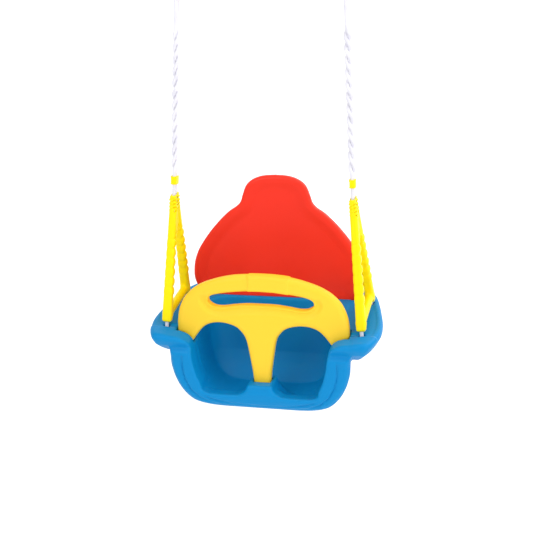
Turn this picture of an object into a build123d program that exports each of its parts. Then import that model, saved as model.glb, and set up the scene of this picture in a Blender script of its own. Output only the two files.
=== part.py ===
"""Toddler bucket swing with a lift-off T-bar and backrest, hung from two rings.

Millimetres. +X is the sitter's left as seen from the front (the viewer's right),
+Y is the rear and +Z is up. The origin is midway between the bores of the two
hanging rings, which is the line that the whole swing hangs from.
Heights written as "h" are measured from the armrest tops at the front rope holes.
"""
from build123d import *
from math import cos, degrees, pi, radians, sin
import os

# Hanging line and ropes
armrest_drop = 684  # from the ring bores down to the armrest tops at the front rope holes
ring_x = 155.5  # ring centres, each side of the middle
rope_d = 7
rope_gap = 0.3  # clearance between a rope and what it bears on
strand_offset = rope_d / 2 + rope_gap  # each strand from the middle of a side by side pair

# Hanging rings: a round bore for the hook above an eye with a round bar for the rope
ring_bore_r = 18
ring_wall = 9
ring_web = 8  # between the bore and the eye
ring_eye = 15  # clear height over the bar
ring_bar_r = 8
ring_eye_width = 26
ring_cheek = 12

# Hangers: a triangle on each armrest with a ribbed neck that the ropes leave by
hanger_tilt = 8  # the armrests rise this much towards the rear, in degrees
hanger_base_x = 189.6
hanger_neck_x = 171.4
hanger_mid_y = -2.5
hanger_base_h = 27  # middle of the base bar
hanger_height = 228.5  # base bar's centre line to the neck's rim
hanger_half_base = 61.3  # leg centre lines at the base bar, each side of the middle
hanger_split = 222  # height over the base bar where the two leg lines come together
leg_r = 9.6
grip_crest_r = 10.6
grip_valley_r = 8.7
grip_count = 6
grip_pitch = 19
grip_start = 34
base_bar_r = 9.2
rope_bore_r = 4.2

web_bottom = 152
web_thickness = 17
neck_size = (11.6, 30)
neck_bottom = 197
rib_count = 4
rib_pitch = 7.2
rib_rise = 1.1
horn_size = (2.2, 12, 5.5)

# Rope clips
clip_size = (12.6, 20, 16.5)
clip_slot = (7.8, 15.6)
clip_over_neck = 34

# Seat shell: (h, half width, front, rear, corner radius) of each level section
outer_sections = [
    (-165, 100, -62, 46, 36),
    (-150, 131, -95, 57, 48),
    (-118, 160, -109, 69, 54),
    (-60, 177, -112, 82, 56),
    (-15, 180, -110, 100, 58),
]
cavity_sections = [
    (-140, 86, -73, 30, 34),
    (-124, 112, -85, 45, 42),
    (-92, 127, -95, 57, 48),
    (-40, 136, -103, 66, 52),
    (60, 142, -111, 73, 54),
]
# Armrest rim: (drop below the sloping armrest top, inset of its outline)
rim_sections = [(0, 14), (12, 1), (28, 3), (44, 16), (58, 42)]
armrest_front_y = -63
rim_outline = [(205, -46), (228, 26), (221, 108), (180, 196)]
rim_corner_radii = [30, 70, 60, 50]
front_lip_h = -112
opening_half_width = 131
pommel_bottom_h = -146
pommel_top_h = -101
rope_hole_r = 6.7
knot_pocket_r = 12
knot_pocket_roof = 9  # armrest thickness left above each knot

# T-bar
tbar_front_y = -85
tbar_thickness = 24
tbar_bow = 13  # how far its middle stands ahead of its ends
slot_top = [(-103, 58), (-95, 67), (-60, 75), (0, 79)]  # upper edge of the hand slot, to its middle
slot_foot = [(103, 58), (99, 50), (84, 45), (48, 49), (0, 52)]  # its lower edge, to its middle
stem_foot_h = -126
stem_foot_half = 15.5
tbar_pocket = [(169.2, 60), (169.2, -5), (137.5, -26.5), (120, -26.5), (120, 60)]
tbar_pocket_y = (-80, -48.5)
fit_gap = 0.8  # round the feet of the T-bar and the backrest

# Backrest
back_front_y = 77
back_thickness = 18
back_bottom_h = 6
back_groove_half = 174

# Knots
knot_r = 9.2
knot_tail = 13
knot_below_top = 10.5  # the knot's flat top under the armrest's surface, along the rope

armrest_z = -armrest_drop
ring_bar_z = -(ring_bore_r + ring_web + ring_eye + ring_bar_r)


def level(h):
    return armrest_z + h


def mirrored(piece):
    with BuildPart() as twin:
        mirror(piece, about=Plane.YZ)
    return twin.part


def finish(piece, name):
    piece.label = name
    export_step(piece, f"parts/{name}.step")


os.makedirs("parts", exist_ok=True)

# ---------------------------------------------------------------- placing planes
slope = radians(hanger_tilt)
base_mid = Vector(hanger_base_x, hanger_mid_y, level(hanger_base_h))
lean = (hanger_neck_x - hanger_base_x) / hanger_height
up_in_hanger = Vector(lean, -sin(slope), cos(slope)).normalized()
along_base = Vector(0, cos(slope), sin(slope))
hanger_plane = Plane(origin=base_mid, x_dir=along_base, z_dir=along_base.cross(up_in_hanger))
armrest_plane = Plane(
    origin=(0, armrest_front_y, armrest_z), x_dir=(1, 0, 0), z_dir=(0, -sin(slope), cos(slope))
)


def in_hanger(along, up, out=0):
    return hanger_plane.from_local_coords(Vector(along, up, out))


pair_start = in_hanger(0, hanger_split)
bar_centre = Vector(ring_x, 0, ring_bar_z)
pair_axis = (bar_centre - pair_start).normalized()
pair_side = Vector(0, 1, 0).cross(pair_axis).cross(pair_axis) * -1
pair_side = pair_side.normalized()


def on_pair(distance, side):
    """Point beside the middle of the pair of strands, measured up from where they meet."""
    return pair_start + pair_axis * distance + pair_side * side


pair_length = (bar_centre - pair_start).length

# ---------------------------------------------------------------- rope route
wrap_r = ring_bar_r + rope_gap + rope_d / 2
spread_length = 70  # over which the strands part below the bar
spread_angle = degrees((wrap_r - strand_offset) / spread_length)
wrap_turn = (180 + 2 * spread_angle) / 3
wrap_corner_r = wrap_r / cos(radians(wrap_turn / 2))


def on_wrap(turn):
    """Corner of the path round the ring's bar, turned from its top towards the rear."""
    side = wrap_corner_r * sin(radians(turn))
    return on_pair(pair_length + wrap_corner_r * cos(radians(turn)), side)


front_foot = in_hanger(-hanger_half_base, 0)
rear_foot = in_hanger(hanger_half_base, 0)
front_split = in_hanger(-strand_offset, hanger_split)
rear_split = in_hanger(strand_offset, hanger_split)
front_line = (front_split - front_foot).normalized()
rear_line = (rear_split - rear_foot).normalized()


def armrest_hit(foot, line):
    """Where a leg's centre line meets the armrest's top."""
    offset = armrest_plane.to_local_coords(foot).Z
    fall = line.dot(armrest_plane.z_dir)
    return foot - line * (offset / fall)


front_hole = armrest_hit(front_foot, front_line)
rear_hole = armrest_hit(rear_foot, rear_line)
front_end = front_hole - front_line * knot_below_top
rear_end = rear_hole - rear_line * knot_below_top

rope_points = [
    front_end,
    front_split,
    on_pair(pair_length - spread_length, -strand_offset),
    on_wrap(-wrap_turn),
    on_wrap(0),
    on_wrap(wrap_turn),
    on_pair(pair_length - spread_length, strand_offset),
    rear_split,
    rear_end,
]
rope_radii = [60, 200, wrap_r - 0.2, wrap_r - 0.2, wrap_r - 0.2, 200, 60]


def rope_tube(radius):
    with BuildPart() as tube:
        with BuildLine() as path:
            FilletPolyline(*rope_points, radius=rope_radii)
        with BuildSketch(Plane(origin=front_end, z_dir=front_line)):
            Circle(radius)
        sweep(path=path.wire())
    return tube.part, path.wire().length


right_rope, rope_length = rope_tube(rope_d / 2)
finish(right_rope, "right_rope")
finish(mirrored(right_rope), "left_rope")


def strand_bore(end, line, split, side):
    """Bore for one strand, up a leg and out through the neck."""
    with BuildPart() as bore:
        with BuildLine() as path:
            FilletPolyline(end, split, on_pair(40, side), radius=60)
        with BuildSketch(Plane(origin=end, z_dir=line)):
            Circle(rope_bore_r)
        sweep(path=path.wire())
    return bore.part


# ---------------------------------------------------------------- hanging rings
ring_outer_r = ring_bore_r + ring_wall
ring_half_width = ring_eye_width / 2 + ring_cheek
with BuildPart() as ring:
    with BuildSketch(Plane.XZ):
        Circle(ring_outer_r)
        with BuildLine():
            Polyline(
                (-ring_outer_r, 0),
                (ring_outer_r, 0),
                (ring_half_width, ring_bar_z),
                (-ring_half_width, ring_bar_z),
                close=True,
            )
        make_face()
    extrude(amount=ring_bar_r, both=True)
    fillet(ring.edges().filter_by(GeomType.CIRCLE).filter_by(Plane.XZ), radius=3)
    with BuildSketch(Plane.XZ):
        Circle(ring_bore_r)
        with Locations((0, ring_bar_z + ring_bar_r / 2 + ring_eye / 2)):
            Rectangle(ring_eye_width, ring_eye + ring_bar_r)
    extrude(amount=2 * ring_bar_r, both=True, mode=Mode.SUBTRACT)
    with Locations(Location((0, 0, ring_bar_z), (0, 90, 0))):
        Cylinder(ring_bar_r, 2 * ring_half_width)

with BuildPart() as right_ring:
    with Locations((ring_x, 0, 0)):
        add(ring.part)
finish(right_ring.part, "right_hanging_ring")
finish(mirrored(right_ring.part), "left_hanging_ring")

# ---------------------------------------------------------------- hangers
leg_length = (front_split - front_foot).length


def finger_leg(foot, line):
    """A leg with finger waves, turned about its own centre line."""
    across = Plane(origin=foot, x_dir=hanger_plane.z_dir, z_dir=hanger_plane.z_dir.cross(line))
    grip_end = grip_start + grip_count * grip_pitch
    with BuildPart() as leg:
        with BuildSketch(across):
            with BuildLine():
                ThreePointArc((0, -leg_r), (leg_r * sin(pi / 4), -leg_r * cos(pi / 4)), (leg_r, 0))
                Line((leg_r, 0), (grip_valley_r, grip_start))
                for wave in range(grip_count):
                    low = grip_start + wave * grip_pitch
                    ThreePointArc(
                        (grip_valley_r, low),
                        (grip_crest_r, low + grip_pitch / 2),
                        (grip_valley_r, low + grip_pitch),
                    )
                Line((grip_valley_r, grip_end), (grip_valley_r, leg_length))
                Line((grip_valley_r, leg_length), (0, leg_length))
                Line((0, leg_length), (0, -leg_r))
            make_face()
        revolve(axis=Axis(foot, line))
    return leg.part


with BuildPart() as right_hanger:
    add(finger_leg(front_foot, front_line))
    add(finger_leg(rear_foot, rear_line))
    with BuildSketch(Plane(origin=front_foot, z_dir=along_base)):
        Circle(base_bar_r)
    extrude(amount=2 * hanger_half_base)
    # Solid web where the two legs come together
    web_half_base = hanger_half_base * (1 - web_bottom / hanger_split)
    with BuildSketch(hanger_plane):
        with BuildLine():
            Polyline(
                (-web_half_base - 5, web_bottom),
                (web_half_base + 5, web_bottom),
                (neck_size[1] / 2, neck_bottom + 4),
                (-neck_size[1] / 2, neck_bottom + 4),
                close=True,
            )
        make_face()
    extrude(amount=web_thickness / 2, both=True)
    # Neck, with ribs round it and a horn each side of its mouth
    neck_base = Plane(origin=in_hanger(0, neck_bottom), x_dir=hanger_plane.z_dir, z_dir=up_in_hanger)
    with BuildSketch(neck_base):
        RectangleRounded(neck_size[0], neck_size[1], 4)
    extrude(amount=hanger_height - neck_bottom)
    for rib in range(rib_count):
        with BuildSketch(neck_base.offset(3 + rib * rib_pitch)):
            RectangleRounded(neck_size[0] + 2 * rib_rise, neck_size[1] + 2 * rib_rise, 5)
        extrude(amount=rib_pitch / 2)
    with BuildSketch(neck_base.offset(hanger_height - neck_bottom)):
        for side in (-1, 1):
            with Locations((side * (neck_size[0] / 2 - horn_size[0] / 2), 0)):
                RectangleRounded(horn_size[0], horn_size[1], 0.9)
    extrude(amount=horn_size[2], taper=12)
    add(strand_bore(front_end, front_line, front_split, -strand_offset), mode=Mode.SUBTRACT)
    add(strand_bore(rear_end, rear_line, rear_split, strand_offset), mode=Mode.SUBTRACT)
finish(right_hanger.part, "right_hanger")
finish(mirrored(right_hanger.part), "left_hanger")

# ---------------------------------------------------------------- rope clips
clip_plane = Plane(origin=on_pair(clip_over_neck, 0), x_dir=pair_side, z_dir=pair_axis)
with BuildPart() as right_clip:
    with BuildSketch(clip_plane):
        RectangleRounded(clip_size[1], clip_size[0], 5)
        SlotOverall(clip_slot[1], clip_slot[0], mode=Mode.SUBTRACT)
    extrude(amount=clip_size[2] / 2, both=True)
finish(right_clip.part, "right_rope_clip")
finish(mirrored(right_clip.part), "left_rope_clip")

# ---------------------------------------------------------------- T-bar


def facing(y):
    """Upright plane across the swing: its own y is the height h over the armrests."""
    return Plane(origin=(0, y, armrest_z), x_dir=(1, 0, 0), z_dir=(0, -1, 0))


with BuildPart() as t_bar:
    with BuildSketch(facing(tbar_front_y - 20)):
        with BuildLine():
            Spline((0, 110.5), (55, 108), (110, 91), (153, 57), (167.5, 10), tangents=[(1, 0), (0, -1)])
            Line((167.5, 10), (168, -4))
            Line((168, -4), (137, -25))
            Spline((137, -25), (116, 0), (82, 12.5), (46, 4), (27, -25))
            Polyline((27, -25), (20, -62), (16.5, -101), (stem_foot_half, stem_foot_h))
            Polyline((stem_foot_half, stem_foot_h), (0, stem_foot_h), (0, 110.5))
        make_face()
        mirror(about=Plane.YZ)
    extrude(amount=-(tbar_thickness + tbar_bow + 40))
    # Bowed front and back
    with BuildSketch(Plane.XY.offset(level(-200))):
        with BuildLine():
            end_y = tbar_front_y + tbar_bow
            ThreePointArc((-180, end_y), (0, tbar_front_y), (180, end_y))
            Line((180, end_y), (180, end_y + tbar_thickness))
            ThreePointArc(
                (180, end_y + tbar_thickness),
                (0, tbar_front_y + tbar_thickness),
                (-180, end_y + tbar_thickness),
            )
            Line((-180, end_y + tbar_thickness), (-180, end_y))
        make_face()
    extrude(amount=400, mode=Mode.INTERSECT)
    # Hand slot under the grip
    with BuildSketch(facing(tbar_front_y - 20)):
        with BuildLine():
            Spline(*slot_top, *((-x, h) for x, h in reversed(slot_top[:-1])))
            Spline(*slot_foot, *((-x, h) for x, h in reversed(slot_foot[:-1])))
        make_face()
    extrude(amount=-(tbar_thickness + tbar_bow + 40), mode=Mode.SUBTRACT)
finish(t_bar.part, "t_bar")

# ---------------------------------------------------------------- backrest
with BuildPart() as backrest:
    with BuildSketch(facing(back_front_y)):
        with BuildLine():
            Line((0, back_bottom_h), (150, back_bottom_h))
            Spline((150, back_bottom_h), (177, 52), (158, 120), (110, 182), (73, 212))
            Spline((73, 212), (62, 246), (34, 264), (0, 268), tangents=[(-0.4, 1), (-1, 0)])
            Line((0, 268), (0, back_bottom_h))
        make_face()
        mirror(about=Plane.YZ)
    extrude(amount=-back_thickness)
    rims = backrest.edges().filter_by(lambda edge: edge.center().Z > level(back_bottom_h + 20))
    fillet(rims, radius=back_thickness / 2 - 3)
finish(backrest.part, "backrest")

# ---------------------------------------------------------------- seat shell


def bucket(sections):
    """Smooth body through level rounded rectangles."""
    with BuildPart() as body:
        for h, half_width, front, rear, corner in sections:
            with BuildSketch(Plane.XY.offset(level(h))):
                with Locations((0, (front + rear) / 2)):
                    RectangleRounded(2 * half_width, rear - front, corner)
        loft()
    return body.part


def armrest_rim():
    """The broad rolled rim that carries both armrests and closes behind the backrest."""
    corners = rim_outline + [(-x, y) for x, y in reversed(rim_outline)]
    with BuildPart() as body:
        for drop, inset in rim_sections:
            with BuildSketch(armrest_plane.offset(-drop)) as section:
                with BuildLine():
                    Polyline(*corners, close=True)
                make_face()
                for (x, y), radius in zip(rim_outline, rim_corner_radii):
                    spots = section.vertices().filter_by(
                        lambda spot: abs(abs(spot.X) - x) < 0.1 and abs(spot.Y - y) < 0.1
                    )
                    fillet(spots, radius=radius)
                offset(amount=-inset)
        loft()
    return body.part


def armrest_bore(hole, line):
    """Rope hole from the armrest's top, with a pocket from below for the knot."""
    with BuildPart() as bore:
        with BuildSketch(Plane(origin=hole + line * 20, z_dir=-line)):
            Circle(rope_hole_r)
        extrude(amount=60)
        with BuildSketch(Plane(origin=hole - line * knot_pocket_roof, z_dir=-line)):
            Circle(knot_pocket_r)
        extrude(amount=90)
    return bore.part


with BuildPart() as seat_shell:
    add(bucket(outer_sections))
    add(armrest_rim())
    add(bucket(cavity_sections), mode=Mode.SUBTRACT)
    # Open front for the legs
    with BuildSketch(facing(-160)):
        with Locations((0, front_lip_h + 100)):
            RectangleRounded(2 * opening_half_width, 200, 34)
    extrude(amount=-140, mode=Mode.SUBTRACT)
    # Pommel that the stem of the T-bar plugs into
    with BuildSketch(Plane.XY.offset(level(pommel_bottom_h))):
        with Locations((0, -60)):
            RectangleRounded(104, 68, 20)
    with BuildSketch(Plane.XY.offset(level(pommel_top_h))):
        with Locations((0, -77)):
            RectangleRounded(62, 54, 16)
    loft()
    for hole, line in ((front_hole, front_line), (rear_hole, rear_line)):
        bore = armrest_bore(hole, line)
        add(bore, mode=Mode.SUBTRACT)
        add(mirrored(bore), mode=Mode.SUBTRACT)
    # Pockets that the ends and the stem of the T-bar drop into
    with BuildSketch(facing(tbar_pocket_y[0])):
        with BuildLine():
            Polyline(*tbar_pocket, close=True)
        make_face()
        mirror(about=Plane.YZ)
    extrude(amount=tbar_pocket_y[0] - tbar_pocket_y[1], mode=Mode.SUBTRACT)
    with BuildSketch(facing(tbar_front_y - fit_gap)):
        with Locations((0, stem_foot_h - fit_gap + 25)):
            Rectangle(2 * (stem_foot_half + 2 * fit_gap), 50)
    extrude(amount=-(tbar_thickness + 2 * fit_gap), mode=Mode.SUBTRACT)
    # Groove that the backrest stands in
    with BuildSketch(facing(back_front_y - fit_gap)):
        with Locations((0, back_bottom_h - fit_gap + 30)):
            Rectangle(2 * back_groove_half, 60)
    extrude(amount=-(back_thickness + 2 * fit_gap), mode=Mode.SUBTRACT)
finish(seat_shell.part, "seat_shell")

# ---------------------------------------------------------------- knots


def knot(end, line, name):
    """Stopper knot under an armrest: a flat top where the rope enters, and a short tail."""
    with BuildPart() as body:
        with Locations(end - line * knot_r * 0.7):
            Sphere(knot_r)
        split(bisect_by=Plane(origin=end, z_dir=line), keep=Keep.BOTTOM)
        with BuildSketch(Plane(origin=end - line * knot_r, z_dir=-line)):
            Circle(rope_d / 2)
        extrude(amount=knot_tail)
    finish(body.part, "right_" + name)
    finish(mirrored(body.part), "left_" + name)


knot(front_end, front_line, "front_knot")
knot(rear_end, rear_line, "rear_knot")

print("rope length", round(rope_length, 1), "wrap radius", wrap_r)
for name, place in (("front hole", front_hole), ("rear hole", rear_hole), ("pair", pair_start)):
    print(name, place)
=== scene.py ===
"""Looks of the toddler bucket swing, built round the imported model.

The mouldings are described as signed distance fields in millimetres, measured across (x),
rearwards (y) and up from the armrest tops (h), and turned into quad meshes by surface nets.
"""
import math

import bpy
import numpy as np
from mathutils import Matrix, Vector


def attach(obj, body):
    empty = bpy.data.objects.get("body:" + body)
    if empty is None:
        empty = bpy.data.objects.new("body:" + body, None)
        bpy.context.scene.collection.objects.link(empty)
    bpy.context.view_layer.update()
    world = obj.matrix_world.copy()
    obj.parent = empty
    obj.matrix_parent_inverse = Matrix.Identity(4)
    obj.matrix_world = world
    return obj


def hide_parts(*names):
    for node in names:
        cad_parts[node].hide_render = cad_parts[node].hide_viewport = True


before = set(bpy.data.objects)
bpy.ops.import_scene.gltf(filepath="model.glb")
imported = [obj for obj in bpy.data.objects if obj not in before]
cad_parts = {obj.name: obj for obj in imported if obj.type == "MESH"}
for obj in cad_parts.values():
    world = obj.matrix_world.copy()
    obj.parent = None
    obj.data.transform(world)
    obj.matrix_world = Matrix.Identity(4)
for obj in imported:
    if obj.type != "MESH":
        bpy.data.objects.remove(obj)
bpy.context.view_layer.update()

MM = 0.001
FINE = 1.0  # mesh step factor

# Driving dimensions, in millimetres, as in the design
ARMREST_DROP = 684  # from the ring bores to the armrest tops at the front rope holes
ARMREST_FRONT_Y = -63
TILT = math.radians(8)  # of the armrests and the hangers, rising rearwards
ROPE_D = 7
STRAND_OFFSET = ROPE_D / 2 + 0.3  # each strand from the middle of the pair
HANGER_HALF_BASE = 61.3
HANGER_SPLIT = 222  # height over the base bar where the two leg lines come together
RING_X = 155.5
RING_BAR_DROP = 49
RING_BORE_R = 18
CLIP_OVER_NECK = 34
TBAR_MID_Y = -73
TBAR_BOW = 13
BACK_MID_Y = 86
KNOT_POCKET_R = 10.4


# ------------------------------------------------------------------ distance fields
def round_max(a, b, r):
    """Intersection of two fields, its edge rounded to radius r."""
    return np.minimum(np.maximum(a, b), -r) + np.hypot(np.maximum(a + r, 0), np.maximum(b + r, 0))


def round_min(a, b, r):
    """Union of two fields, its inner corner filled to radius r."""
    return -round_max(-a, -b, r)


def cut(a, b, r=0.5):
    """Field a with b taken away, the rim rounded to radius r."""
    return round_max(a, -b, r)


def smooth(t):
    """Eased step from 0 to 1."""
    t = np.clip(t, 0, 1)
    return t * t * (3 - 2 * t)


def slab(v, low, high):
    """Field of the layer between two levels."""
    return np.maximum(low - v, v - high)


def block(x, y, z, half, centre=(0, 0, 0), r=1.0):
    """Rounded box."""
    q = [np.abs(v - c) - (s - r) for v, c, s in zip((x, y, z), centre, half)]
    outside = np.sqrt(sum(np.maximum(v, 0) ** 2 for v in q))
    return outside + np.minimum(np.maximum(np.maximum(q[0], q[1]), q[2]), 0) - r


def rod(x, y, z, a, b, r):
    """Capsule between two points, with a radius that may be a function of the place along it."""
    a, b = np.array(a, float), np.array(b, float)
    d = b - a
    t = ((x - a[0]) * d[0] + (y - a[1]) * d[1] + (z - a[2]) * d[2]) / (d @ d)
    t = np.clip(t, 0, 1)
    gap = np.sqrt((x - a[0] - t * d[0]) ** 2 + (y - a[1] - t * d[1]) ** 2 + (z - a[2] - t * d[2]) ** 2)
    return gap - (r(t) if callable(r) else r)


def rounded_outline(corners, arc=7):
    """Closed outline through (x, y, radius) corners, as points."""
    points = []
    count = len(corners)
    for i, (x, y, r) in enumerate(corners):
        here = np.array([x, y], float)
        back = np.array(corners[i - 1][:2], float) - here
        ahead = np.array(corners[(i + 1) % count][:2], float) - here
        lb, la = np.linalg.norm(back), np.linalg.norm(ahead)
        back, ahead = back / lb, ahead / la
        half = math.acos(np.clip(back @ ahead, -1, 1)) / 2
        reach = min(r / math.tan(half), 0.49 * lb, 0.49 * la) if r > 0 and half < 1.55 else 0
        if reach < 0.05:
            points.append(here)
            continue
        start, end = here + back * reach, here + ahead * reach
        for k in range(arc + 1):
            t = k / arc
            points.append((1 - t) ** 2 * start + 2 * t * (1 - t) * here + t * t * end)
    return np.array(points)


def smooth_outline(points, steps=8, closed=True):
    """Catmull-Rom curve through given points."""
    p = np.array(points, float)
    out = []
    n = len(p)
    for i in range(n if closed else n - 1):
        a, b, c, d = (p[(i + k) % n] if closed else p[min(max(i + k, 0), n - 1)] for k in (-1, 0, 1, 2))
        for k in range(steps):
            t = k / steps
            out.append(0.5 * (2 * b + (c - a) * t + (2 * a - 5 * b + 4 * c - d) * t * t
                              + (3 * b - a - 3 * c + d) * t ** 3))
    if not closed:
        out.append(p[-1])
    return np.array(out)


class Profile:
    """Signed distance to a closed outline, kept in a table at a 1 mm pitch."""

    def __init__(self, outline, margin=40, pitch=1.0):
        outline = np.asarray(outline, float)
        self.low = outline.min(0) - margin
        self.pitch = pitch
        size = np.ceil((outline.max(0) + margin - self.low) / pitch).astype(int) + 1
        gx = self.low[0] + pitch * np.arange(size[0])
        gy = self.low[1] + pitch * np.arange(size[1])
        px, py = np.meshgrid(gx, gy, indexing="ij")
        best = np.full(px.shape, 1e12)
        inside = np.zeros(px.shape, bool)
        for (ax, ay), (bx, by) in zip(outline, np.roll(outline, -1, 0)):
            ex, ey = bx - ax, by - ay
            length = ex * ex + ey * ey
            if length < 1e-12:
                continue
            t = np.clip(((px - ax) * ex + (py - ay) * ey) / length, 0, 1)
            best = np.minimum(best, (px - ax - t * ex) ** 2 + (py - ay - t * ey) ** 2)
            spans = (ay > py) != (by > py)
            if abs(ey) > 1e-12:
                inside ^= spans & (px < ex * (py - ay) / ey + ax)
        self.table = np.where(inside, -1, 1) * np.sqrt(best)
        self.size = size

    def __call__(self, x, y):
        fx = np.clip((x - self.low[0]) / self.pitch, 0, self.size[0] - 1.001)
        fy = np.clip((y - self.low[1]) / self.pitch, 0, self.size[1] - 1.001)
        ix, iy = fx.astype(int), fy.astype(int)
        tx, ty = fx - ix, fy - iy
        t = self.table
        return ((t[ix, iy] * (1 - tx) + t[ix + 1, iy] * tx) * (1 - ty)
                + (t[ix, iy + 1] * (1 - tx) + t[ix + 1, iy + 1] * tx) * ty)


def surface_net(field, low, high, step, refine=2):
    """Quad mesh on the zero level of field(x, y, z), whose vertices are then drawn onto it."""
    low, high = np.array(low, float), np.array(high, float)
    size = np.ceil((high - low) / step).astype(int) + 1
    axes = [low[a] + step * np.arange(size[a]) for a in range(3)]
    value = field(*np.meshgrid(*axes, indexing="ij", sparse=False))
    cells = size - 1
    total = np.zeros((3, int(np.prod(cells))))
    count = np.zeros(int(np.prod(cells)))
    crossings = []
    for axis in range(3):
        other = [a for a in range(3) if a != axis]
        first = [slice(None)] * 3
        second = [slice(None)] * 3
        first[axis], second[axis] = slice(None, -1), slice(1, None)
        a, b = value[tuple(first)], value[tuple(second)]
        spot = np.argwhere((a < 0) != (b < 0))
        fa, fb = a[tuple(spot.T)], b[tuple(spot.T)]
        place = spot.astype(float)
        place[:, axis] += fa / (fa - fb)
        around = []
        for du, dv in ((0, 0), (-1, 0), (-1, -1), (0, -1)):
            cell = spot.copy()
            cell[:, other[0]] += du
            cell[:, other[1]] += dv
            around.append(cell)
        fits = np.ones(len(spot), bool)
        for cell in around:
            fits &= ((cell >= 0) & (cell < cells)).all(1)
        flat = [np.ravel_multi_index(tuple(cell[fits].T), tuple(cells)) for cell in around]
        for index in flat:
            count += np.bincount(index, minlength=len(count))
            for k in range(3):
                total[k] += np.bincount(index, weights=place[fits, k], minlength=len(count))
        flip = (fa[fits] < 0) != (axis == 1)
        crossings.append((np.array(flat).T, flip))
    used = count > 0
    number = np.cumsum(used) - 1
    points = (total[:, used] / count[used]).T * step + low
    faces = []
    for quads, flip in crossings:
        quads = number[quads]
        faces.append(np.where(flip[:, None], quads, quads[:, ::-1]))
    faces = np.concatenate(faces)
    for _ in range(refine):
        d = field(*points.T)
        slope = np.array([
            field(*(points + off).T) - field(*(points - off).T)
            for off in np.eye(3) * 0.2
        ]).T / 0.4
        push = slope * (d / np.maximum((slope ** 2).sum(1), 0.25))[:, None]
        size_of = np.linalg.norm(push, axis=1)
        push *= np.minimum(1, 0.6 * step / np.maximum(size_of, 1e-9))[:, None]
        points -= push
    return points, faces


def mesh_piece(name, points, faces, body, material):
    """Object from points in the row frame, in millimetres, riding on a CAD body."""
    name = name.replace(" ", "_")
    mesh = bpy.data.meshes.new(name)
    mesh.from_pydata((np.asarray(points) * MM).tolist(), [], [list(map(int, f)) for f in faces])
    mesh.polygons.foreach_set("use_smooth", np.ones(len(mesh.polygons), bool))
    mesh.update()
    mesh.validate()
    piece = bpy.data.objects.new(name, mesh)
    bpy.context.collection.objects.link(piece)
    mesh.materials.append(material)
    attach(piece, body)
    return piece


def mirrored(points, faces):
    """The same mesh on the other side of the middle plane."""
    points = np.array(points, float)
    points[:, 0] *= -1
    return points, [face[::-1] for face in faces]


# ------------------------------------------------------------------ surfaces
def plastic(name, colour, shade, roughness, shine=0.26):
    """Satin moulded plastic: faint clouding, a fine moulded grain and small scuffs."""
    material = bpy.data.materials.new(name)
    material.use_nodes = True
    nodes, links = material.node_tree.nodes, material.node_tree.links
    shader = nodes["Principled BSDF"]
    place = nodes.new("ShaderNodeTexCoord")

    cloud = nodes.new("ShaderNodeTexNoise")
    cloud.inputs["Scale"].default_value = 9
    cloud.inputs["Detail"].default_value = 5
    links.new(place.outputs["Object"], cloud.inputs["Vector"])
    tint = nodes.new("ShaderNodeMix")
    tint.data_type = "RGBA"
    tint.inputs["A"].default_value = (*colour, 1)
    tint.inputs["B"].default_value = (*shade, 1)
    amount = nodes.new("ShaderNodeMapRange")
    amount.inputs["From Min"].default_value = 0.35
    amount.inputs["From Max"].default_value = 0.8
    amount.inputs["To Max"].default_value = 0.05
    links.new(cloud.outputs["Fac"], amount.inputs["Value"])
    links.new(amount.outputs["Result"], tint.inputs["Factor"])
    links.new(tint.outputs["Result"], shader.inputs["Base Color"])

    scuff = nodes.new("ShaderNodeTexNoise")
    scuff.inputs["Scale"].default_value = 60
    scuff.inputs["Detail"].default_value = 6
    scuff.inputs["Distortion"].default_value = 1.5
    links.new(place.outputs["Object"], scuff.inputs["Vector"])
    gloss = nodes.new("ShaderNodeMapRange")
    gloss.inputs["From Min"].default_value = 0.3
    gloss.inputs["From Max"].default_value = 0.7
    gloss.inputs["To Min"].default_value = roughness - 0.04
    gloss.inputs["To Max"].default_value = roughness + 0.06
    links.new(scuff.outputs["Fac"], gloss.inputs["Value"])
    links.new(gloss.outputs["Result"], shader.inputs["Roughness"])

    fine = nodes.new("ShaderNodeTexNoise")
    fine.inputs["Scale"].default_value = 900
    fine.inputs["Detail"].default_value = 2
    links.new(place.outputs["Object"], fine.inputs["Vector"])
    skin = nodes.new("ShaderNodeBump")
    skin.inputs["Strength"].default_value = 0.35
    skin.inputs["Distance"].default_value = 0.00012
    links.new(fine.outputs["Fac"], skin.inputs["Height"])
    links.new(skin.outputs["Normal"], shader.inputs["Normal"])

    shader.inputs["IOR"].default_value = 1.49
    shader.inputs["Specular IOR Level"].default_value = shine
    return material


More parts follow.
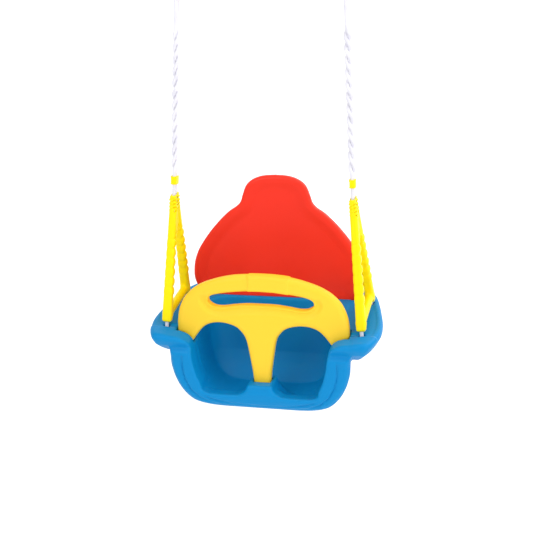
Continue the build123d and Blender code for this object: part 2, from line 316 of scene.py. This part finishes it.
def rope_fibre():
    """White braided rope: the braid is in the mesh, the yarns and fluff are in the shader."""
    material = bpy.data.materials.new("braided rope")
    material.use_nodes = True
    nodes, links = material.node_tree.nodes, material.node_tree.links
    shader = nodes["Principled BSDF"]
    place = nodes.new("ShaderNodeTexCoord")

    yarn = nodes.new("ShaderNodeTexNoise")
    yarn.inputs["Scale"].default_value = 1400
    yarn.inputs["Detail"].default_value = 3
    links.new(place.outputs["Object"], yarn.inputs["Vector"])
    worn = nodes.new("ShaderNodeTexNoise")
    worn.inputs["Scale"].default_value = 40
    links.new(place.outputs["Object"], worn.inputs["Vector"])
    ramp = nodes.new("ShaderNodeValToRGB")
    ramp.color_ramp.elements[0].position = 0.25
    ramp.color_ramp.elements[0].color = (0.69, 0.68, 0.78, 1)
    ramp.color_ramp.elements[1].position = 0.6
    ramp.color_ramp.elements[1].color = (0.87, 0.862, 0.92, 1)
    blend = nodes.new("ShaderNodeMath")
    blend.operation = "MULTIPLY_ADD"
    blend.inputs[1].default_value = 0.5
    links.new(yarn.outputs["Fac"], blend.inputs[0])
    half = nodes.new("ShaderNodeMath")
    half.operation = "MULTIPLY"
    half.inputs[1].default_value = 0.5
    links.new(worn.outputs["Fac"], half.inputs[0])
    links.new(half.outputs[0], blend.inputs[2])
    links.new(blend.outputs[0], ramp.inputs["Fac"])
    links.new(ramp.outputs["Color"], shader.inputs["Base Color"])
    shader.inputs["Roughness"].default_value = 0.78
    shader.inputs["Sheen Weight"].default_value = 0.3
    shader.inputs["Subsurface Weight"].default_value = 0.08
    shader.inputs["Subsurface Radius"].default_value = (0.002, 0.002, 0.002)
    fuzz = nodes.new("ShaderNodeBump")
    fuzz.inputs["Strength"].default_value = 0.5
    fuzz.inputs["Distance"].default_value = 0.0003
    links.new(yarn.outputs["Fac"], fuzz.inputs["Height"])
    links.new(fuzz.outputs["Normal"], shader.inputs["Normal"])
    return material


blue = plastic("seat plastic", (0.0, 0.248, 0.59), (0.0, 0.19, 0.5), 0.42, 0.16)
amber = plastic("t-bar plastic", (1.0, 0.645, 0.034), (1.0, 0.54, 0.008), 0.44)
red = plastic("backrest plastic", (0.93, 0.031, 0.012), (0.76, 0.02, 0.008), 0.4)
yellow = plastic("hanger plastic", (1.0, 0.79, 0.0), (0.93, 0.62, 0.0), 0.44, 0.18)
ring_yellow = plastic("ring plastic", (1.0, 0.78, 0.0), (0.9, 0.62, 0.0), 0.42)
rope_white = rope_fibre()


# ------------------------------------------------------------------ ropes
def vec(*v):
    return np.array(v, float)


# Frames of the +x side: the hanger's own, and the pair of strands above its neck
HANGER_FOOT = vec(189.6, -2.5, -ARMREST_DROP + 27)
HANGER_UP = vec(-18.2 / 228.5, -math.sin(TILT), math.cos(TILT))
HANGER_UP /= np.linalg.norm(HANGER_UP)
HANGER_ALONG = vec(0, math.cos(TILT), math.sin(TILT))
HANGER_OUT = np.cross(HANGER_ALONG, HANGER_UP)
RING_BAR = vec(RING_X, 0, -RING_BAR_DROP)


def in_hanger(along, up):
    return HANGER_FOOT + HANGER_ALONG * along + HANGER_UP * up


PAIR_FOOT = in_hanger(0, HANGER_SPLIT)
PAIR_UP = RING_BAR - PAIR_FOOT
PAIR_UP /= np.linalg.norm(PAIR_UP)
PAIR_REAR = -np.cross(np.cross(vec(0, 1, 0), PAIR_UP), PAIR_UP)
PAIR_REAR /= np.linalg.norm(PAIR_REAR)
PAIR_OUT = np.cross(PAIR_REAR, PAIR_UP)
FRONT_SPLIT = in_hanger(-STRAND_OFFSET, HANGER_SPLIT)
REAR_SPLIT = in_hanger(STRAND_OFFSET, HANGER_SPLIT)
FRONT_FOOT = in_hanger(-HANGER_HALF_BASE, 0)
REAR_FOOT = in_hanger(HANGER_HALF_BASE, 0)
FRONT_LINE = (FRONT_SPLIT - FRONT_FOOT) / np.linalg.norm(FRONT_SPLIT - FRONT_FOOT)
REAR_LINE = (REAR_SPLIT - REAR_FOOT) / np.linalg.norm(REAR_SPLIT - REAR_FOOT)
FRONT_HOLE = vec(191.06, -65.37, -684.33)
REAR_HOLE = vec(191.06, 65.47, -665.95)

# The route, in metres: front knot, front leg, neck, ring bar, neck, rear leg, rear knot
ROUTE = [
    (0.19187, -0.06656, -0.69473),
    (0.17520, -0.04185, -0.47998),
    (0.17197, -0.03706, -0.43838),
    (0.17019, -0.03350, -0.39572),
    (0.16018, -0.01332, -0.16018),
    (0.15844, -0.00975, -0.11836),
    (0.15697, -0.01077, -0.08383),
    (0.15520, -0.01201, -0.04192),
    (0.15491, 0.00119, -0.03512),
    (0.15529, 0.01304, -0.04407),
    (0.15707, 0.00469, -0.08524),
    (0.15847, -0.00218, -0.11901),
    (0.16021, -0.00575, -0.16083),
    (0.17022, -0.02593, -0.39637),
    (0.17197, -0.02954, -0.43733),
    (0.17520, -0.01347, -0.47600),
    (0.19187, 0.06948, -0.67561),
]
TWIST_FROM, TWIST_TO, TWISTS = 46, 318, 6  # heights over the neck, and whole turns
TWIST_EASE = 0.06  # share of the run over which the twist starts, and ends


def route_line(points, name):
    """Points along the route's spline."""
    curve = bpy.data.curves.new(name, "CURVE")
    curve.dimensions = "3D"
    spline = curve.splines.new("NURBS")
    spline.points.add(len(points) - 1)
    for point, place in zip(spline.points, points):
        point.co = (*place, 1)
    spline.order_u = 3
    spline.use_endpoint_u = True
    curve.resolution_u = 24
    holder = bpy.data.objects.new(name, curve)
    bpy.context.collection.objects.link(holder)
    bpy.context.view_layer.update()
    line = bpy.data.meshes.new_from_object(holder.evaluated_get(bpy.context.evaluated_depsgraph_get()))
    out = np.array([v.co[:] for v in line.vertices]) / MM
    bpy.data.objects.remove(holder)
    bpy.data.curves.remove(curve)
    bpy.data.meshes.remove(line)
    return out


def even(line, step):
    """The same line with its points a step apart."""
    gap = np.linalg.norm(np.diff(line, axis=0), axis=1)
    line = np.concatenate([line[:1], line[1:][gap > 1e-6]])
    run = np.concatenate([[0], np.cumsum(np.linalg.norm(np.diff(line, axis=0), axis=1))])
    want = np.linspace(0, run[-1], max(2, int(round(run[-1] / step)) + 1))
    return np.array([np.interp(want, run, line[:, k]) for k in range(3)]).T


def twisted(line):
    """Both strands turned round each other between the clip and the ring."""
    up = (line - PAIR_FOOT) @ PAIR_UP
    away = line - PAIR_FOOT - up[:, None] * PAIR_UP
    rear, out = away @ PAIR_REAR, away @ PAIR_OUT
    t = np.clip((up - TWIST_FROM) / (TWIST_TO - TWIST_FROM), 0, 1)
    ending = 1 - TWIST_EASE - (1 - t) ** 2 / (2 * TWIST_EASE)
    eased = np.where(t > 1 - TWIST_EASE, ending, t - TWIST_EASE / 2)
    eased = np.where(t < TWIST_EASE, t * t / (2 * TWIST_EASE), eased)
    angle = 2 * math.pi * TWISTS * eased / (1 - TWIST_EASE)
    c, s = np.cos(angle), np.sin(angle)
    rear, out = rear * c - out * s, rear * s + out * c
    return PAIR_FOOT + up[:, None] * PAIR_UP + rear[:, None] * PAIR_REAR + out[:, None] * PAIR_OUT


def braided_tube(line, radius, sides=20, lay=19):
    """Tube with an eight-strand braid in relief, closed at both ends."""
    ahead = np.gradient(line, axis=0)
    ahead /= np.linalg.norm(ahead, axis=1)[:, None]
    run = np.concatenate([[0], np.cumsum(np.linalg.norm(np.diff(line, axis=0), axis=1))])
    side = np.empty_like(line)
    first = np.cross(ahead[0], vec(0.3, 1, 0.1))
    side[0] = first / np.linalg.norm(first)
    for i in range(1, len(line)):
        s = side[i - 1] - ahead[i] * (side[i - 1] @ ahead[i])
        side[i] = s / np.linalg.norm(s)
    other = np.cross(ahead, side)
    u = 2 * math.pi * np.arange(sides) / sides
    p = 4 * u[None, :] + 8 * math.pi * run[:, None] / lay
    q = 4 * u[None, :] - 8 * math.pi * run[:, None] / lay
    over = np.sin(p / 2) * np.sin(q / 2) > 0
    relief = np.where(over, np.abs(np.sin(p / 2)), np.abs(np.sin(q / 2))) ** 0.7
    r = radius - 0.32 + 0.5 * relief
    points = (line[:, None, :] + r[..., None] * (np.cos(u)[None, :, None] * side[:, None, :]
                                                 + np.sin(u)[None, :, None] * other[:, None, :]))
    points = points.reshape(-1, 3)
    i = np.arange(len(line) - 1)[:, None] * sides
    j = np.arange(sides)[None, :]
    k = (j + 1) % sides
    faces = np.stack([i + j, i + k, i + sides + k, i + sides + j], -1).reshape(-1, 4).tolist()
    last = (len(line) - 1) * sides
    faces.append(list(range(sides))[::-1])
    faces.append([last + n for n in range(sides)])
    return points, faces


def stopper_knot(end, line, name):
    """Overhand stopper: two turns of rope round the standing part and a cut tail."""
    across = np.cross(line, vec(1, 0, 0))
    across /= np.linalg.norm(across)
    over = np.cross(line, across)
    turns = []
    for t in np.linspace(0, 1, 70):
        angle = 2 * math.pi * 2.15 * t + 0.6
        r = 4.6 + 0.7 * math.sin(3 * math.pi * t)
        drop = -3.9 - 7.6 * t + 1.1 * math.sin(angle * 1.5)
        turns.append(end + line * drop + r * (math.cos(angle) * across + math.sin(angle) * over))
    turns = np.array(turns)
    core = np.array([end + line * (0.4 - 12.5 * t) for t in np.linspace(0, 1, 12)])
    tail_end = end - line * 22 + across * 1.5
    tail = smooth_outline([core[-1], core[-1] - line * 3.5, tail_end + line * 2, tail_end], 6, closed=False)
    whole = even(np.concatenate([core[:-1], tail]), 1.4 * FINE)
    pa, fa = braided_tube(whole, 3.35, 16)
    pb, fb = braided_tube(even(turns, 1.4 * FINE), 3.5, 16)
    faces = list(fa) + [[v + len(pa) for v in f] for f in fb]
    return np.concatenate([pa, pb]), faces


for side in ("right", "left"):
    turn = 1 if side == "right" else -1
    flip = vec(turn, 1, 1)
    route = [(x * turn, y, z) for x, y, z in ROUTE]
    line = route_line(route, side + " route")
    line = even(twisted(even(line * flip, 1.0)), 1.0 * FINE) * flip
    points, faces = braided_tube(line, ROPE_D / 2)
    rope = mesh_piece(side + " rope strand", points, faces, "swing_seat", rope_white)
    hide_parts(side + "_rope")
    ends = (("front", line[0], FRONT_LINE * flip), ("rear", line[-1], REAR_LINE * flip))
    for place, end, axis in ends:
        points, faces = stopper_knot(end, axis, place)
        knot = mesh_piece(f"{side} {place} stopper", points, faces, "swing_seat", rope_white)
        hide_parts(f"{side}_{place}_knot")


# ------------------------------------------------------------------ hangers
def hanger_field(x, y, z, marked_side):
    """Hanger on the +x side; marked_side is the side of its neck with the small notches."""
    rel = (x - HANGER_FOOT[0], y - HANGER_FOOT[1], z - HANGER_FOOT[2])
    axes = (HANGER_ALONG, HANGER_UP, HANGER_OUT)
    along, up, out = (sum(r * c for r, c in zip(rel, axis)) for axis in axes)

    # Two legs with finger waves, on a round base bar
    body = None
    for sign in (-1, 1):
        run = vec(sign * (STRAND_OFFSET - HANGER_HALF_BASE), HANGER_SPLIT)
        length = np.linalg.norm(run)
        run /= length
        t = (along - sign * HANGER_HALF_BASE) * run[0] + up * run[1]
        n = (along - sign * HANGER_HALF_BASE) * run[1] - up * run[0]
        f = np.clip(t / length, 0, 1)
        wide = 9.2 - 2.6 * f
        deep = 8.3 - 1.0 * f
        wave = np.abs(np.sin(math.pi * (t - 38) / 19)) ** 0.8 - 0.5
        grip = smooth((t - 34) / 8) * smooth((160 - t) / 8) * wave
        deep = deep + np.where(n > 0, 2.9, 1.1) * grip
        wide = wide + np.where(out * marked_side > 0, 2.2, 0.6) * grip
        corner = 4.6
        q = np.hypot(np.maximum(np.abs(out) - wide + corner, 0), np.maximum(np.abs(n) - deep + corner, 0))
        q = q + np.minimum(np.maximum(np.abs(out) - wide, np.abs(n) - deep) + corner, 0) - corner
        ends = slab(t, -13.0, length - 4)
        leg = round_max(q, ends, 4.5)
        body = leg if body is None else round_min(body, leg, 5)
    bar = np.hypot(up, out) - 8.2
    bar = np.maximum(bar, np.abs(along) - HANGER_HALF_BASE)
    body = round_min(body, bar, 5)
    half = (HANGER_HALF_BASE - 3.8) * (1 - up / HANGER_SPLIT) + 3.8
    web = np.maximum(np.maximum(np.abs(along) - half, np.abs(out) - 5.4), slab(up, 150, 206))
    body = round_min(body, web, 3)

    # Neck with four ribs, two horns and two columns of notches
    rib = 1.2 * np.sin(2 * math.pi * (up - 198.3) / 7.2)
    rib = np.where(slab(up, 198, 227.4) < 0, rib, -0.6)
    neck = np.hypot(np.maximum(np.abs(out) - 1.9, 0), np.maximum(np.abs(along) - 11.1, 0)) - 4.2 - rib
    neck = round_max(neck, slab(up, 188, 229), 1.2)
    body = round_min(body, neck, 2)
    lip = np.abs(out) - 5.0 + 0.16 * (up - 228)
    horn = np.maximum(np.maximum(lip, 3.6 - np.abs(out)), np.abs(along) - 7 + 0.55 * (up - 228))
    horn = round_max(horn, slab(up, 224, 233.6), 0.7)
    body = np.minimum(body, horn)
    for row in range(4):
        level = 200.2 + 7.2 * row
        side = out * marked_side
        corner_notch = block(side, along, up, (3.0, 2.8, 1.5), (4.6, -13.6, level - 0.4), 0.4)
        side_notch = block(side, along, up, (2.6, 6.0, 1.5), (6.6, 0.5, level + 0.4), 0.4)
        body = cut(cut(body, corner_notch, 0.3), side_notch, 0.3)

    # Oval dish, the neck's mouth and the rope bores
    oval = np.hypot((along - 4.5) / 4.6, (up - 157) / 9.5) - 1
    dish = np.maximum(oval * 4.6, 3.0 - np.abs(out))
    body = cut(body, dish, 0.8)
    mouth = np.hypot(np.maximum(np.abs(along) - 4.2, 0), out) - 4.2
    body = cut(body, np.maximum(mouth, 205 - up), 0.7)
    for foot, line in ((FRONT_FOOT, FRONT_LINE), (REAR_FOOT, REAR_LINE)):
        bore = rod(x, y, z, foot - line * 30, foot + line * 22, 4.3)
        body = cut(body, bore, 0.9)
    return body


# ------------------------------------------------------------------ rope clips
def clip_field(x, y, z, marked_side):
    """Clip on the +x side; marked_side is the side of its sunk window."""
    rel = (x - PAIR_FOOT[0], y - PAIR_FOOT[1], z - PAIR_FOOT[2])
    rear, out, up = (sum(r * c for r, c in zip(rel, axis)) for axis in (PAIR_REAR, PAIR_OUT, PAIR_UP))
    up = up - CLIP_OVER_NECK
    q = np.hypot(np.maximum(np.abs(out) - 2.3, 0), np.maximum(np.abs(rear) - 6.0, 0)) - 3.9
    top = 7.1 + 1.1 * smooth((np.abs(out) - 3.6) / 1.6)
    body = round_max(q, np.maximum(up - top, -8.2 - up), 1.0)
    waist = np.abs(out) - 6.25 + 0.03 * np.maximum(-up, 0)
    body = round_max(body, waist, 1)
    body = cut(body, np.hypot(np.maximum(np.abs(rear) - 3.9, 0), out) - 3.9, 0.6)
    window = block(out * marked_side, rear, up, (2.4, 3.6, 5.0), (6.2, -5.0, -0.8), 0.7)
    body = cut(body, window, 0.4)
    seam = np.maximum(np.abs(up + 5.6) - 0.35, -q - 0.35)
    return cut(body, seam, 0.2)


# ------------------------------------------------------------------ hanging rings
ring_outline = Profile(rounded_outline([
    (-27, 8, 20), (-20, 27, 24), (20, 27, 24), (27, 8, 20), (27, -8, 20), (25, -30, 10), (25, -57, 5),
    (-25, -57, 5), (-25, -30, 10), (-27, -8, 20)]), 20, 0.6)
eye_corners = [(-13, -26, 5), (13, -26, 5), (13, -41, 3), (-13, -41, 3)]
eye_outline = Profile(rounded_outline(eye_corners), 20, 0.6)


def ring_field(x, y, z):
    """Plate with a round bore for the hook, over an eye with a round bar for the rope."""
    x = x - RING_X
    plate = round_max(ring_outline(x, z), np.abs(y) - 7.9, 3.2)
    plate = np.maximum(plate, -RING_BAR_DROP - z)
    panel = np.maximum(np.abs(ring_outline(x, z) + 6.2) - 2.2, 6.7 - np.abs(y))
    plate = cut(plate, np.maximum(panel, -20 - z), 0.5)
    bar = np.maximum(np.hypot(y, z + RING_BAR_DROP) - 7.9, np.abs(x) - 24.9)
    body = round_min(plate, round_max(bar, np.abs(x) - 24.9, 2.5), 2.5)
    body = cut(body, np.hypot(x, z) - RING_BORE_R, 2.0)
    eye = cut(eye_outline(x, z), np.hypot(y, z + RING_BAR_DROP) - 8.1, 0.5)
    body = cut(body, eye, 1.6)
    seam = np.maximum(np.abs(y) - 0.3, -ring_outline(x, z) - 0.3)
    return cut(body, seam, 0.2)


for side in ("right", "left"):
    turn = 1 if side == "right" else -1
    hanger_mesh = surface_net(lambda x, y, z: hanger_field(x, y, z, turn),
                              (160, -84, -688), (204, 78, -417), 1.2 * FINE)
    clip_mesh = surface_net(lambda x, y, z: clip_field(x, y, z, -turn),
                            (161, -45, -416), (180, -16, -392), 0.55 * FINE)
    ring_mesh = surface_net(ring_field, (126, -10, -60), (185, 10, 30), 0.9 * FINE)
    makers = (
        ("hanger", hanger_mesh, "swing_seat", yellow, "hanger_plastic", "hanger"),
        ("clip", clip_mesh, side + "_clip", yellow, "hanger_plastic", "rope_clip"),
        ("ring", ring_mesh, "rings", ring_yellow, "ring_plastic", "hanging_ring"),
    )
    for name, (points, faces), body, material, slot, node in makers:
        if turn < 0:
            points, faces = mirrored(points, faces)
        piece = mesh_piece(f"{side} {name} moulding", points, faces, body, material)
        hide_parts(f"{side}_{node}")


# ------------------------------------------------------------------ T-bar
def both_sides(half):
    """Outline from its right half, given from the bottom middle up to the top middle."""
    return list(half) + [(-x, y) for x, y in reversed(half) if abs(x) > 1e-6]


tbar_half = np.concatenate([
    [(0, -126), (15.5, -126), (16.5, -101), (18.5, -82)],
    smooth_outline([
        (18.5, -82), (21, -65), (24, -46), (27.5, -26), (31.5, -13), (37.5, -4), (46, 4.5), (57, 9.5),
        (72, 12.5), (89, 12.2), (104, 8), (113.5, 2), (121, -5.5), (127.5, -14), (139, -30)],
        5, closed=False)[1:],
    [(150, -24), (168, -11)],
    smooth_outline([
        (168, -11), (168, 0), (167.5, 12), (163.5, 33), (154, 55), (141, 70.5), (127, 81.5), (109, 91),
        (82, 100.5), (55, 107), (28, 110), (0, 110.8)],
        5, closed=False)[1:],
])
tbar_outline = Profile(both_sides([tuple(p) for p in tbar_half]), 30)
slot_half = smooth_outline([
    (0, 52), (28, 51.4), (54, 48.2), (74, 44.8), (90, 45.4), (101, 51.5), (103, 59), (97, 66),
    (80, 71.5), (57, 75.5), (28, 79), (0, 80)], 6, closed=False)
slot_outline = Profile(both_sides([tuple(p) for p in slot_half]), 40)


def tbar_field(x, y, z):
    """Bowed bar with a rolled rim, a trough below the hand slot and a thicker grip above it."""
    h = z + ARMREST_DROP
    bow = TBAR_BOW * np.minimum((x / 180) ** 2, 1)
    edge = tbar_outline(x, h)
    hole = slot_outline(x, h)
    middle = y - TBAR_MID_Y - bow
    thick = 11.9 - 1.1 * smooth((6 - np.abs(edge + 6)) / 14)
    body = round_max(edge, np.abs(middle) - thick, 8.5)
    body = cut(body, hole, 6.5)
    trough = smooth((18 - hole) / 9) * smooth((70 - h) / 14) * smooth((hole - 1.5) / 5)
    body = body + 5.0 * trough * smooth(-middle / 6)
    grip = np.maximum(np.maximum(edge, -hole), np.maximum(np.abs(x - 17) - 40, 76 - h))
    grip = round_max(grip + 0.2, np.abs(middle) - 13.9, 5.0)
    body = round_min(body, grip, 0.6)
    return body


points, faces = surface_net(tbar_field, (-171, -90, -812), (171, -44, -567), 1.75 * FINE)
tbar = mesh_piece("t-bar moulding", points, faces, "t_bar", amber)
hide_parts("t_bar")

# ------------------------------------------------------------------ backrest
back_half = np.concatenate([
    [(0, 6), (146, 6), (152, 9)],
    smooth_outline([
        (152, 9), (166, 26), (174, 42), (177, 58), (174.5, 84), (166, 108), (154, 128), (138, 150),
        (118, 173), (98, 192), (82, 203), (73, 213), (68, 228), (60, 247), (46, 259), (26, 266), (0, 268)],
        5, closed=False)[1:],
])
back_outline = Profile(both_sides([tuple(p) for p in back_half]), 30)


def backrest_field(x, y, z):
    """Plate dished inside a rounded rim, with upright ribs on its back."""
    h = z + ARMREST_DROP
    edge = back_outline(x, h)
    middle = y - BACK_MID_Y
    inside = smooth((-edge - 9) / 22)
    front = 8.9 - 3.0 * inside
    rear = 8.9 - 2.6 * smooth((-edge - 20) / 6)
    face = np.where(middle < 0, -middle - front, middle - rear)
    body = round_max(edge, face, 7.6)
    for cx in (-64, -32, 0, 32, 64):
        rib = np.maximum(np.abs(x - cx * (1 + (h - 80) * 0.0012)) - 3.2, slab(h, 34, 178))
        body = round_min(body, round_max(rib, np.abs(middle - 2) - 6.2, 2.0), 2.5)
    return body


points, faces = surface_net(backrest_field, (-181, 72, -682), (181, 100, -412), 1.8 * FINE)
back = mesh_piece("backrest moulding", points, faces, "backrest", red)
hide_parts("backrest")

# ------------------------------------------------------------------ seat shell
rim_plan = Profile(both_sides([tuple(p) for p in np.concatenate([
    [(0, -112), (190, -112)],
    smooth_outline([
        (190, -112), (203, -110), (211, -102), (219, -82), (225, -56), (226.3, -34), (224, -6),
        (217.5, 28), (210, 62), (201, 94), (190, 116), (175, 129), (155, 132.5)], 5, closed=False)[1:],
    [(0, 132.5)],
])]), 60)
rim_profile = Profile(rounded_outline([
    (-120, 0, 0), (-2, 0, 13), (0.9, -10, 9), (-6, -22, 12), (-19, -34, 14), (-31, -44, 12),
    (-46, -50, 8), (-120, -53, 0)]), 60)
bucket_front = Profile(both_sides([tuple(p) for p in np.concatenate([
    [(0, -166)],
    smooth_outline([
        (0, -166), (50, -164.2), (88, -159), (108, -154), (124, -147.5), (140, -136.5), (154, -121),
        (164, -105), (171, -88), (175, -72), (176.5, -60), (177, -40)], 4, closed=False)[1:],
    [(177, -26), (0, -26)],
])]), 60)
bucket_side = Profile([
    (-112, 10), (-112, -96), (-111.5, -116), (-109.5, -131), (-105.5, -142), (-98, -150), (-86, -155.5),
    (-66, -160.5), (-44, -166), (-20, -178), (20, -190), (44, -172), (56, -150), (69, -118), (82, -62),
    (94, -20), (94, 10)], 60)
cavity_front = Profile(both_sides([tuple(p) for p in np.concatenate([
    [(0, -140)],
    smooth_outline([
        (0, -140), (55, -139.5), (82, -136), (101, -127), (115, -112), (124.5, -92), (130, -70),
        (134, -45), (136.5, -20), (140, 10), (143, 40)], 4, closed=False)[1:],
    [(143, 90), (0, 90)],
])]), 60)
cavity_side = Profile([
    (-150, -118), (-84, -124), (-60, -170), (20, -170), (31, -140), (45, -124), (57, -92), (66, -40),
    (73, 60), (74, 90), (-150, 90)], 60)
leg_gap = Profile(both_sides([tuple(p) for p in np.concatenate([
    [(0, -101), (24, -101)],
    smooth_outline([
        (24, -101), (31, -104), (42, -113), (58, -118.5), (80, -119), (100, -113), (114, -102),
        (124, -88), (129.5, -70), (132.5, -52), (134, -38), (136.5, -25), (141.5, -15.5),
        (149, -9), (160, -4), (174, -0.5), (190, 2.5), (200, 6)], 4, closed=False)[1:],
    [(200, 70), (0, 70)],
])]), 60)
crease = Profile(both_sides([
    (0, -151), (58, -149), (94, -142), (117, -132), (134, -116), (144, -98), (149, -80),
    (150.5, -62), (150.5, -40), (0, -40)]), 40)
tbar_seat = Profile(both_sides([(0, -31.5), (139, -31.5), (169.5, -12.5), (169.5, 60)]), 40)


def seat_field(x, y, z):
    """Bucket under a broad rolled rim, open at the front for the legs on each side of a pommel."""
    h = z + ARMREST_DROP
    wide = np.abs(x)
    lift = math.tan(TILT) * (y - ARMREST_FRONT_Y)
    hs = h - lift * smooth((h + 85) / 45)
    plan = rim_plan(x, y)
    rim = rim_profile(plan, hs)
    rim = round_max(rim, plan - 0.4, 1)
    corner = 13 + 31 * smooth((y + 40) / 90)
    bucket = round_max(bucket_front(x * (1 + 0.0008 * (y + 112)), hs), bucket_side(y, h), corner)
    outer = round_min(rim, bucket, 6)

    rear_corner = 8 + 38 * smooth((y + 20) / 60)
    ahead = smooth((-100 - y) / 6)
    narrow = 4.5 * smooth((-40 - y) / 50) * smooth((h + 118) / 16)
    cavity = round_max(cavity_front(wide + narrow, h), cavity_side(y, h), rear_corner)
    gap = np.maximum(leg_gap(wide + narrow, hs), y + 66)
    void = round_min(cavity, gap, 5)
    edge_r = 10 - 4.5 * smooth((-60 - y) / 30) - 4.5 * smooth((y - 25) / 25)
    body = round_max(outer, -void, edge_r)

    spread = 26 + 22 * smooth((-104 - h) / 44)
    pommel = round_max(wide - spread, slab(y, -111.2, -46), 10)
    pommel = round_max(pommel, slab(h, -150, -100.5), 7)
    pommel = round_max(pommel, bucket_side(y, h) + 0.6, 6)
    body = np.maximum(round_min(body, pommel, 15), outer)

    # Flange round the front, stepped back from the middle band, and two grooves under the lip
    band = crease(x, h)
    below = smooth((-40 - h) / 14)
    body = body + 1.8 * smooth((band + 1.2) / 2.4) * ahead * below
    low = smooth((-122 - h) / 10) * ahead
    body = body + 2.6 * smooth((3.0 - np.abs(band + 8)) / 3.0) * low
    body = body + 2.8 * smooth((2.8 - np.abs(band)) / 2.8) * ahead * below

    # Tray sunk in each armrest
    tray = np.maximum(np.maximum(plan + 12, 150 - wide), -71.5 - y)
    on_top = smooth((hs + 12) / 6)
    body = body + 1.2 * smooth((0.9 - tray) / 1.8) * on_top
    body = body - 2.0 * smooth((-72.5 - y) / 3) * smooth((wide - 172) / 14) * on_top

    # T-bar and backrest sockets
    ends = np.maximum(np.maximum(tbar_seat(x, h), 118 - wide), slab(y, -80.6, -46.5))
    body = cut(body, ends, 1.0)
    stem = np.maximum(np.maximum(wide - 17.1, -126.8 - h), slab(y, -85.8, -60.2))
    body = cut(body, stem, 0.8)
    groove = np.maximum(np.maximum(wide - 174, 5.2 - h), slab(y, 76.2, 95.8))
    body = cut(body, groove, 1.2)
    key = block(wide, y, h, (5.5, 3.2, 13), (149, 70.5, -14), 1.5)
    body = cut(body, key, 0.8)

    # Rope holes and the pockets for the knots
    for hole, line in ((FRONT_HOLE, FRONT_LINE), (REAR_HOLE, REAR_LINE)):
        bore = rod(wide, y, z, hole - line * 70, hole + line * 20, 6.5)
        body = cut(body, bore, 1.2)
        pocket = rod(wide, y, z, hole - line * 90, hole - line * 20, KNOT_POCKET_R)
        body = cut(body, pocket, 1.5)
    return body


points, faces = surface_net(seat_field, (-232, -118, -854), (232, 138, -650), 2.4 * FINE)
seat = mesh_piece("seat moulding", points, faces, "swing_seat", blue)
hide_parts("seat_shell")

# ------------------------------------------------------------------ camera, light and floor
scene = bpy.context.scene
eye = Vector((0.4652, -1.9476, 0.028))
yaw, pitch, roll = (math.radians(v) for v in (-13.537, -16.86, -1.777))
gaze = Vector((math.sin(yaw) * math.cos(pitch), math.cos(yaw) * math.cos(pitch), math.sin(pitch)))
right = gaze.cross(Vector((0, 0, 1))).normalized()
upward = right.cross(gaze)
across = right * math.cos(roll) + upward * math.sin(roll)
top = upward * math.cos(roll) - right * math.sin(roll)
camera_data = bpy.data.cameras.new("camera")
camera_data.sensor_width = 36
camera_data.lens = 72.88
camera = bpy.data.objects.new("camera", camera_data)
camera.matrix_world = Matrix((
    (across.x, top.x, -gaze.x, eye.x),
    (across.y, top.y, -gaze.y, eye.y),
    (across.z, top.z, -gaze.z, eye.z),
    (0, 0, 0, 1)))
bpy.context.collection.objects.link(camera)
scene.camera = camera


def softbox(name, place, target, size, power):
    lamp = bpy.data.lights.new(name, "AREA")
    lamp.shape = "RECTANGLE"
    lamp.size, lamp.size_y = size
    lamp.energy = power
    holder = bpy.data.objects.new(name, lamp)
    holder.location = place
    holder.rotation_euler = (Vector(target) - Vector(place)).to_track_quat("-Z", "Y").to_euler()
    bpy.context.collection.objects.link(holder)


middle = (0, 0, -0.6)
softbox("key", (-1.6, -3.2, 1.6), middle, (2.4, 2.4), 50)
softbox("fill", (3.2, -1.5, 0.3), middle, (2.4, 2.4), 36)
softbox("top", (1.0, -0.5, 2.4), middle, (3, 3), 32)
softbox("rim", (2.2, 1.8, 1.5), middle, (1.8, 1.8), 34)
softbox("backdrop", (0, 1.6, 2.0), (-0.6, 5.4, 0.6), (3.5, 1.5), 110)

# Pale floor that turns up into a wall
sweep = [(-9, -1.25)] + [(3.2 + 2.2 * math.sin(t), -1.25 + 2.2 - 2.2 * math.cos(t))
                         for t in np.linspace(0, math.pi / 2, 14)] + [(5.4, 7)]
floor_points = [(x, y, z) for y, z in sweep for x in (-11, 11)]
floor_faces = [(2 * i, 2 * i + 1, 2 * i + 3, 2 * i + 2) for i in range(len(sweep) - 1)]
floor_mesh = bpy.data.meshes.new("floor")
floor_mesh.from_pydata(floor_points, [], floor_faces)
floor_mesh.polygons.foreach_set("use_smooth", np.ones(len(floor_faces), bool))
floor = bpy.data.objects.new("floor", floor_mesh)
bpy.context.collection.objects.link(floor)
floor_finish = bpy.data.materials.new("floor finish")
floor_finish.use_nodes = True
floor_shader = floor_finish.node_tree.nodes["Principled BSDF"]
floor_shader.inputs["Base Color"].default_value = (0.97, 0.97, 0.97, 1)
floor_shader.inputs["Roughness"].default_value = 0.9
floor_shader.inputs["Specular IOR Level"].default_value = 0.1
floor_mesh.materials.append(floor_finish)

world = bpy.data.worlds.new("studio")
world.use_nodes = True
world.node_tree.nodes["Background"].inputs["Color"].default_value = (1, 1, 1, 1)
world.node_tree.nodes["Background"].inputs["Strength"].default_value = 0.62
scene.world = world
scene.view_settings.view_transform = "Standard"
